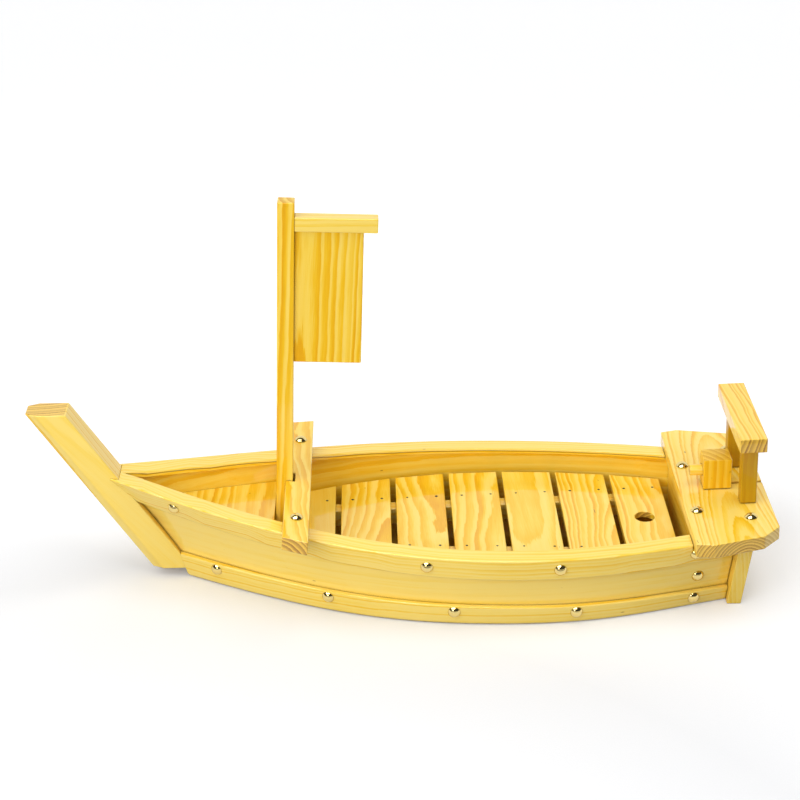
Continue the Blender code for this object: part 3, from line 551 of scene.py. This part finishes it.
class SUSHIBOAT_OT_thwart(bpy.types.Operator):
    """Dresses the thwart across the rails"""
    bl_idname = "sushi_boat.thwart"
    bl_label = "Thwart"

    def execute(self, context):
        place_board("thwart", "Y", (-16, 0, -22), 3.6, tilt=(1.5, 1.2), warm=0.24)
        return {"FINISHED"}


class SUSHIBOAT_OT_stern_walls(bpy.types.Operator):
    """Dresses the transom and the bulkhead under the stern deck"""
    bl_idname = "sushi_boat.stern_walls"
    bl_label = "Stern walls"

    def execute(self, context):
        place_board("transom", "Z", (-30, -60, 0), 3.0, tilt=(1, 1), show=0.45, warm=0.15, wander=0.3)
        place_board("stern_bulkhead", "Y", (-50, 0, -30), 4.2, tilt=(2, 2), show=0.4, warm=0.35)
        return {"FINISHED"}


class SUSHIBOAT_OT_stern_deck(bpy.types.Operator):
    """Dresses the stern deck"""
    bl_idname = "sushi_boat.stern_deck"
    bl_label = "Stern deck"

    def execute(self, context):
        place_board(
            "stern_deck", "Y", (6, 0, -26), 2.8, tilt=(4, 0.4), show=1.0, warm=-0.04, wander=0.3, end=0.85)
        return {"FINISHED"}


class SUSHIBOAT_OT_stern_frame(bpy.types.Operator):
    """Dresses the frame on the stern deck: two legs and a top board"""
    bl_idname = "sushi_boat.stern_frame"
    bl_label = "Stern frame"

    def execute(self, context):
        # shade and warm darken the legs: browner stock, and painted shade under the frame's top board.
        for node in ("frame_leg_port", "frame_leg_starboard"):
            place_board(node, "Z", (-40, 20, 0), 4.5, show=0.3, warm=0.75, shade=0.63, gloss=0.3)
        place_board("frame_top", "Y", (60, 0, -14), 3.8, tilt=(1, 4), show=1.0, warm=0.08)
        return {"FINISHED"}


class SUSHIBOAT_OT_tiller(bpy.types.Operator):
    """Dresses the tiller block and its peg"""
    bl_idname = "sushi_boat.tiller"
    bl_label = "Tiller block"

    def execute(self, context):
        place_board(
            "tiller_block", "Z", (-35, -28, 0), 6.0, show=0.45, warm=0.42, wander=0.5, end=0.3, gloss=0.3)
        place_board("tiller_peg", "X", (0, 8, -25), 3.5, warm=0.1)
        return {"FINISHED"}


class SUSHIBOAT_OT_mast(bpy.types.Operator):
    """Dresses the mast, the yard and the wooden sail"""
    bl_idname = "sushi_boat.mast"
    bl_label = "Mast and sail"

    def execute(self, context):
        place_board(
            "mast", "mast", (30, 10, 0), 6.5, "mast",
            tilt=(1.2, 0.5), warm=0.2, wander=0.5, end=0.25, gloss=0.5)
        place_board(
            "yard", "X", (0, 20, 42), 5.0, "mast", (-0.6, 0, 0),
            tilt=(1, 0), show=1.0, warm=-0.3, wander=0.4, end=0.3)
        place_board(
            "sail_panel", "mast", (-22, 28, 0), 4.2, "mast", (-0.6, 0, 0.02),
            tilt=(2.3, 0.8), show=0.9, warm=0.22, wander=0.4, gloss=0.5)
        return {"FINISHED"}


class SUSHIBOAT_OT_floor(bpy.types.Operator):
    """Dresses the slatted floor and its runners"""
    bl_idname = "sushi_boat.floor"
    bl_label = "Slatted floor"

    def execute(self, context):
        # The pith's offset and the rings' width in millimetres, tilt, show and warm of each slat.
        logs = (
            ((12, 0, -60), 6.0, (1.0, 2.0), 0.4, 0.2), ((24, 0, -30), 5.4, (2.5, -2.5), 0.98, 0.09),
            ((18, 0, -34), 6.0, (-3.0, 2.0), 0.98, 0.06), ((22, 0, -28), 6.4, (1.5, -1.5), 1.0, 0.06),
            ((-6, 0, -40), 6.2, (-2.0, 3.0), 0.8, 0.07), ((26, 0, -24), 3.6, (2.5, 1.0), 1.1, 0.09),
            ((24, 0, -32), 4.2, (-2.0, -1.0), 1.05, 0.06))
        for node, (offset, ring, tilt, show, warm) in zip(SLATS, logs):
            place_board(node, "Y", offset, ring, "floor", tilt=tilt, show=show, warm=warm, wander=0.8)
        for node in ("runner_port", "runner_starboard"):
            place_board(node, "X", (0, 40, -30), 4.0, "floor", show=0.6)
        return {"FINISHED"}


def stud_tree():
    """Geometry nodes that set a round head on every point, turned to the point's aim."""
    tree = bpy.data.node_groups.new("round_heads", "GeometryNodeTree")
    for name, kind in (
            ("Points", "Geometry"), ("Diameter", "Float"), ("Height", "Float"), ("Sides", "Int"),
            ("Spread", "Float"), ("Seed", "Int"), ("Material", "Material")):
        tree.interface.new_socket(name, in_out="INPUT", socket_type="NodeSocket" + kind)
    tree.interface.new_socket("Heads", in_out="OUTPUT", socket_type="NodeSocketGeometry")
    given = add_node(tree, "NodeGroupInput").outputs
    radius = add_node(tree, "ShaderNodeMath", {0: given["Diameter"], 1: 0.5}, operation="MULTIPLY").outputs[0]
    rings = add_node(tree, "ShaderNodeMath", {0: given["Sides"], 1: 0.5}, operation="MULTIPLY").outputs[0]
    ball = add_node(tree, "GeometryNodeMeshUVSphere", {
        "Segments": given["Sides"], "Rings": rings, "Radius": radius}).outputs["Mesh"]
    # The ball's upper half is pressed into a round cap of the head's height, and its lower half
    # into a flat base.
    position = add_node(tree, "GeometryNodeInputPosition").outputs[0]
    point = add_node(tree, "ShaderNodeSeparateXYZ", {0: position})
    flat = add_node(tree, "ShaderNodeVectorMath", {
        0: position, 1: (1, 1, 0)}, operation="MULTIPLY").outputs[0]
    out = add_node(tree, "ShaderNodeVectorMath", {0: flat}, operation="LENGTH").outputs["Value"]

    def squared(value):
        return add_node(tree, "ShaderNodeMath", {0: value, 1: value}, operation="MULTIPLY").outputs[0]

    # The cap belongs to a sphere of radius (radius^2 + height^2) / (2 * height).
    sphere = add_node(tree, "ShaderNodeMath", {0: squared(radius), 1: squared(given["Height"])}).outputs[0]
    sphere = add_node(tree, "ShaderNodeMath", {0: sphere, 1: given["Height"]}, operation="DIVIDE").outputs[0]
    sphere = add_node(tree, "ShaderNodeMath", {0: sphere, 1: 0.5}, operation="MULTIPLY").outputs[0]
    raised = add_node(tree, "ShaderNodeMath", {
        0: squared(sphere), 1: squared(out)}, operation="SUBTRACT").outputs[0]
    raised = add_node(tree, "ShaderNodeMath", {0: raised}, operation="SQRT").outputs[0]
    raised = add_node(tree, "ShaderNodeMath", {0: raised, 1: sphere}, operation="SUBTRACT").outputs[0]
    raised = add_node(tree, "ShaderNodeMath", {0: raised, 1: given["Height"]}).outputs[0]
    upper = add_node(tree, "ShaderNodeMath", {
        0: point.outputs["Z"], 1: 0.0}, operation="GREATER_THAN").outputs[0]
    raised = add_node(tree, "ShaderNodeMath", {0: raised, 1: upper}, operation="MULTIPLY").outputs[0]
    shape = add_node(tree, "ShaderNodeCombineXYZ", {
        "X": point.outputs["X"], "Y": point.outputs["Y"], "Z": raised}).outputs[0]
    head = add_node(tree, "GeometryNodeSetPosition", {"Geometry": ball, "Position": shape}).outputs[0]
    aim = add_node(tree, "GeometryNodeInputNamedAttribute", {
        "Name": "aim"}, data_type="FLOAT_VECTOR").outputs[0]
    turn = add_node(tree, "FunctionNodeAlignRotationToVector", {"Vector": aim}, axis="Z").outputs[0]
    least = add_node(tree, "ShaderNodeMath", {0: 1.0, 1: given["Spread"]}, operation="SUBTRACT").outputs[0]
    size = add_node(tree, "FunctionNodeRandomValue", {
        2: least, 3: 1.0, "Seed": given["Seed"]}, data_type="FLOAT").outputs[1]
    points = add_node(tree, "GeometryNodeMeshToPoints", {"Mesh": given["Points"]}).outputs[0]
    heads = add_node(tree, "GeometryNodeInstanceOnPoints", {
        "Points": points, "Instance": head, "Rotation": turn, "Scale": size}).outputs[0]
    heads = add_node(tree, "GeometryNodeRealizeInstances", {0: heads}).outputs[0]
    heads = add_node(tree, "GeometryNodeSetShadeSmooth", {0: heads}).outputs[0]
    heads = add_node(tree, "GeometryNodeSetMaterial", {0: heads, "Material": given["Material"]}).outputs[0]
    add_node(tree, "NodeGroupOutput", {0: heads})
    return tree


def round_heads(points, aims, **sizes):
    """A plain mesh with a round head on each point."""
    mesh = bpy.data.meshes.new("heads")
    mesh.from_pydata(points, [], [])
    mesh.attributes.new("aim", "FLOAT_VECTOR", "POINT").data.foreach_set("vector", np.ravel(aims))
    holder = bpy.data.objects.new("heads", mesh)
    modifier = holder.modifiers.new("heads", "NODES")
    modifier.node_group = stud_tree()
    for item in modifier.node_group.interface.items_tree:
        if item.in_out == "INPUT" and item.name in sizes:
            modifier[item.identifier] = sizes[item.name]
    return evaluated(holder)


def nail_seat(node):
    """The middle of a nail's flat base and the direction in which its head points."""
    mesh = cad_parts[node].data
    areas = {}
    for face in mesh.polygons:
        key = tuple(round(n, 2) for n in face.normal)
        areas.setdefault(key, []).append(face)
    base = max(areas.values(), key=lambda faces: sum(face.area for face in faces))
    area = sum(face.area for face in base)
    seat = sum((face.center * face.area for face in base), Vector()) / area
    return seat, -base[0].normal


class SUSHIBOAT_OT_brass_nails(bpy.types.Operator):
    """Sets the brass dome nails"""
    bl_idname = "sushi_boat.brass_nails"
    bl_label = "Brass nails"

    def execute(self, context):
        look = context.scene.sushi_boat.nails
        # Stamped and tumbled brass: a clear reflection of the room, broken by faint rubbing marks.
        # They are drawn a millimetre long, coarser than real ones, so that they show.
        brass = empty_material("polished_brass")
        tree = brass.node_tree
        place = add_node(tree, "ShaderNodeTexCoord").outputs["Object"]
        rubbing = add_node(tree, "ShaderNodeTexNoise", {
            "Vector": place, "Scale": 0.9 / MM, "Detail": 3.0}).outputs["Fac"]
        rough = add_node(tree, "ShaderNodeMapRange", {
            "Value": rubbing, "To Min": 0.03, "To Max": 0.09}).outputs[0]
        tarnish = add_node(tree, "ShaderNodeMapRange", {
            "Value": rubbing, "From Min": 0.35, "From Max": 0.75, "To Max": 0.12}).outputs[0]
        metal = add_node(tree, "ShaderNodeMix", {
            "Factor": tarnish, 6: (*look.brass, 1), 7: (*look.tarnish, 1)}, data_type="RGBA").outputs[2]
        shader = add_node(tree, "ShaderNodeBsdfPrincipled", {
            "Base Color": metal, "Metallic": 1.0, "Roughness": rough})
        add_node(tree, "ShaderNodeOutputMaterial", {"Surface": shader.outputs[0]})
        nodes = sorted(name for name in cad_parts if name.startswith("nail_"))
        seats, aims = zip(*(nail_seat(node) for node in nodes))
        heads = round_heads(
            seats, aims,
            Diameter=look.dome, Height=look.dome_rise, Sides=28, Spread=0.0, Seed=1, Material=brass)
        place_piece("brass_nails", heads, brass, "hull", nodes)
        return {"FINISHED"}


class SUSHIBOAT_OT_floor_pins(bpy.types.Operator):
    """Sets the small steel pins that hold the slats to the runners"""
    bl_idname = "sushi_boat.floor_pins"
    bl_label = "Floor pins"

    def execute(self, context):
        look = context.scene.sushi_boat.nails
        # Wire nails punched flush: dull, dark heads with specks of rust under a millimetre wide.
        steel = empty_material("oxidised_steel")
        tree = steel.node_tree
        place = add_node(tree, "ShaderNodeTexCoord").outputs["Object"]
        rust = add_node(tree, "ShaderNodeTexNoise", {
            "Vector": place, "Scale": 1.5 / MM, "Detail": 2.0}).outputs["Fac"]
        metal = add_node(tree, "ShaderNodeMix", {
            "Factor": rust, 6: (*look.steel, 1), 7: (*look.rust, 1)}, data_type="RGBA").outputs[2]
        rough = add_node(tree, "ShaderNodeMapRange", {"Value": rust, "To Min": 0.4, "To Max": 0.7}).outputs[0]
        shader = add_node(tree, "ShaderNodeBsdfPrincipled", {
            "Base Color": metal, "Metallic": 0.3, "Roughness": rough})
        add_node(tree, "ShaderNodeOutputMaterial", {"Surface": shader.outputs[0]})
        points = []
        for node in SLATS:
            low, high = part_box(node)
            rows = [low[0] + look.pin_fore, high[0] - look.pin_aft]
            # The first slat has only its aft row.
            if node == SLATS[0]:
                del rows[0]
            for x in rows:
                line = PIN_LINE + PIN_FLARE * x
                points += [(x, line, high[2]), (x, -line, high[2])]
        heads = round_heads(
            points, [(0, 0, 1)] * len(points),
            Diameter=look.pin, Height=look.pin_rise, Sides=12, Spread=0.3, Seed=4, Material=steel)
        place_piece("floor_pins", heads, steel, "floor", [])
        return {"FINISHED"}


def seen(tree):
    """1 for rays that come from the camera, a reflection or a clear body, and 0 for all others."""
    path = add_node(tree, "ShaderNodeLightPath").outputs
    total = add_node(tree, "ShaderNodeMath", {
        0: path["Is Camera Ray"], 1: path["Is Glossy Ray"]}, operation="MAXIMUM").outputs[0]
    return add_node(tree, "ShaderNodeMath", {
        0: total, 1: path["Is Transmission Ray"]}, operation="MAXIMUM").outputs[0]


def flat_sheet(name, material, corners):
    """A flat sheet between four corners."""
    mesh = bpy.data.meshes.new(name)
    mesh.from_pydata(corners, [], [(0, 1, 2, 3)])
    mesh.materials.append(material)
    sheet = bpy.data.objects.new(name, mesh)
    bpy.context.scene.collection.objects.link(sheet)
    return sheet


def lay_paper(look):
    """The white paper under the boat."""
    # Pressed, uncoated paper: matt, so it takes the boat's shadow softly and shows no highlight.
    # Its fibres are drawn over a millimetre long, coarser than real ones.
    paper = empty_material("white_paper")
    tree = paper.node_tree
    place = add_node(tree, "ShaderNodeTexCoord").outputs["Object"]
    fleck = add_node(tree, "ShaderNodeTexNoise", {"Vector": place, "Scale": 0.7 / MM}).outputs["Fac"]
    tint = add_node(tree, "ShaderNodeMix", {
        "Factor": fleck, 6: (*look.paper, 1), 7: (*look.paper_fleck, 1)}, data_type="RGBA").outputs[2]
    # The boat gets only a share of the paper's light, so that its underside stays dark.
    bounced = add_node(tree, "ShaderNodeLightPath").outputs["Is Diffuse Ray"]
    dim = add_node(tree, "ShaderNodeMapRange", {
        "Value": bounced, "To Min": 1.0, "To Max": look.bounce}).outputs[0]
    tint = add_node(tree, "ShaderNodeVectorMath", {0: tint, "Scale": dim}, operation="SCALE").outputs[0]
    matt = add_node(tree, "ShaderNodeBsdfDiffuse", {"Color": tint}).outputs[0]
    # The front softbox's light falls off across the paper, as the way ahead of it over the fourth
    # power of the distance, and the glow makes up for it.
    reach = add_node(tree, "ShaderNodeVectorMath", {
        0: place, 1: FRONT_PLACE}, operation="SUBTRACT").outputs[0]
    ahead = add_node(tree, "ShaderNodeVectorMath", {
        0: reach, 1: Vector(FRONT_AIM).normalized()}, operation="DOT_PRODUCT").outputs["Value"]
    away = add_node(tree, "ShaderNodeVectorMath", {0: reach}, operation="LENGTH").outputs["Value"]
    away = add_node(tree, "ShaderNodeMath", {0: away, 1: 4.0}, operation="POWER").outputs[0]
    light = add_node(tree, "ShaderNodeMath", {0: ahead, 1: away}, operation="DIVIDE").outputs[0]
    glow = add_node(tree, "ShaderNodeMapRange", {
        "Value": light, "From Min": WEAK_LIGHT, "From Max": STRONG_LIGHT,
        "To Min": look.lift, "To Max": GLOW_KEPT * look.lift}).outputs[0]
    glow = add_node(tree, "ShaderNodeMath", {0: seen(tree), 1: glow}, operation="MULTIPLY").outputs[0]
    glow = add_node(tree, "ShaderNodeEmission", {"Strength": glow}).outputs[0]
    both = add_node(tree, "ShaderNodeAddShader", {0: matt, 1: glow}).outputs[0]
    add_node(tree, "ShaderNodeOutputMaterial", {"Surface": both})
    floor = flat_sheet("paper", paper, PAPER_CORNERS)


def paint_room(look):
    """A white room, which lights the boat less than it shows."""
    world = bpy.data.worlds.new("white_room")
    world.use_nodes = True
    bpy.context.scene.world = world
    tree = world.node_tree
    tree.nodes.clear()
    level = add_node(tree, "ShaderNodeMapRange", {
        "Value": seen(tree), "To Min": look.sky, "To Max": 1.0}).outputs[0]
    room = add_node(tree, "ShaderNodeBackground", {"Color": (1, 1, 1, 1), "Strength": level}).outputs[0]
    add_node(tree, "ShaderNodeOutputWorld", {"Surface": room})


def hang_lamp(name, kind, strength, aim):
    """A lamp that shines the way of aim."""
    lamp = bpy.data.lights.new(name, kind)
    lamp.energy = strength
    box = bpy.data.objects.new(name, lamp)
    box.rotation_euler = Vector(aim).to_track_quat("-Z", "Y").to_euler()
    bpy.context.scene.collection.objects.link(box)
    return box


def hang_lamps(look):
    """Even light from overhead and from the left, and a softbox before and behind the boat."""
    for name, strength, spread, aim in (
            ("softbox", look.lamp, OVERHEAD_SPREAD, OVERHEAD_AIM),
            ("side", look.side, LEFT_SPREAD, LEFT_AIM)):
        box = hang_lamp(name, "SUN", strength, aim)
        box.data.angle = math.radians(spread)
    for name, power, place, aim in (
            ("front_softbox", look.front, FRONT_PLACE, FRONT_AIM),
            ("rear_softbox", look.rear, REAR_PLACE, REAR_AIM)):
        box = hang_lamp(name, "AREA", power, aim)
        box.data.shape = "RECTANGLE"
        box.data.size, box.data.size_y = SOFTBOX_SIZE
        box.location = place
        box.visible_camera = False
        box.visible_glossy = False


def hang_card(name, strength, corners):
    """A card of felt or lit cloth that only reflections show."""
    cloth = empty_material(name)
    lit = add_node(cloth.node_tree, "ShaderNodeEmission", {"Strength": strength}).outputs[0]
    add_node(cloth.node_tree, "ShaderNodeOutputMaterial", {"Surface": lit})
    sheet = flat_sheet(name, cloth, corners)
    for kind in ("camera", "diffuse", "transmission", "volume_scatter", "shadow"):
        setattr(sheet, "visible_" + kind, False)


def place_camera(look):
    """The camera of the photograph."""
    pitch, yaw, roll = (math.radians(a) for a in (CAMERA_PITCH, CAMERA_YAW, CAMERA_ROLL))
    forward = Vector((math.sin(yaw) * math.cos(pitch), math.cos(yaw) * math.cos(pitch), -math.sin(pitch)))
    level = Vector((math.cos(yaw), -math.sin(yaw), 0.0))
    upright = level.cross(forward)
    right = math.cos(roll) * level + math.sin(roll) * upright
    up = math.cos(roll) * upright - math.sin(roll) * level
    lens = bpy.data.cameras.new("camera")
    lens.lens = look.lens
    lens.sensor_width = SENSOR_WIDTH
    camera = bpy.data.objects.new("camera", lens)
    turn = Matrix((right, up, -forward)).transposed().to_4x4()
    camera.matrix_world = Matrix.Translation(CAMERA_PLACE) @ turn
    bpy.context.scene.collection.objects.link(camera)
    bpy.context.scene.camera = camera


class SUSHIBOAT_OT_stage(bpy.types.Operator):
    """Lays the white paper, and sets the light and the camera"""
    bl_idname = "sushi_boat.stage"
    bl_label = "Stage"

    def execute(self, context):
        look = context.scene.sushi_boat.stage
        context.scene.view_settings.view_transform = "Standard"
        lay_paper(look)
        paint_room(look)
        hang_lamps(look)
        for name, strength, corners in CARDS:
            hang_card(name, strength, corners)
        place_camera(look)
        return {"FINISHED"}


OPERATORS = (
    SUSHIBOAT_OT_stem, SUSHIBOAT_OT_planks, SUSHIBOAT_OT_rails, SUSHIBOAT_OT_wales, SUSHIBOAT_OT_bottom,
    SUSHIBOAT_OT_foredeck, SUSHIBOAT_OT_thwart, SUSHIBOAT_OT_stern_walls, SUSHIBOAT_OT_stern_deck,
    SUSHIBOAT_OT_stern_frame, SUSHIBOAT_OT_tiller, SUSHIBOAT_OT_mast, SUSHIBOAT_OT_floor,
    SUSHIBOAT_OT_brass_nails, SUSHIBOAT_OT_floor_pins, SUSHIBOAT_OT_stage)


class SUSHIBOAT_PT_pieces(bpy.types.Panel):
    """Lists the boat's pieces"""
    bl_idname = "SUSHIBOAT_PT_pieces"
    bl_label = "Sushi boat"
    bl_space_type = "VIEW_3D"
    bl_region_type = "UI"
    bl_category = "Sushi boat"

    def draw(self, context):
        settings = context.scene.sushi_boat
        for group in (settings.pine, settings.nails, settings.stage):
            box = self.layout.box()
            for name in group.__annotations__:
                box.prop(group, name)
        for operator in OPERATORS:
            self.layout.operator(operator.bl_idname)


CLASSES = (PineFinish, NailFinish, StageLook, BoatSettings, *OPERATORS, SUSHIBOAT_PT_pieces)


def register():
    for each in CLASSES:
        bpy.utils.register_class(each)
    bpy.types.Scene.sushi_boat = bpy.props.PointerProperty(type=BoatSettings)


def unregister():
    del bpy.types.Scene.sushi_boat
    for each in reversed(CLASSES):
        bpy.utils.unregister_class(each)


def main():
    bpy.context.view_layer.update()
    register()
    for operator in OPERATORS:
        getattr(bpy.ops.sushi_boat, operator.bl_idname.split(".")[1])()


if __name__ == "__main__":
    main()
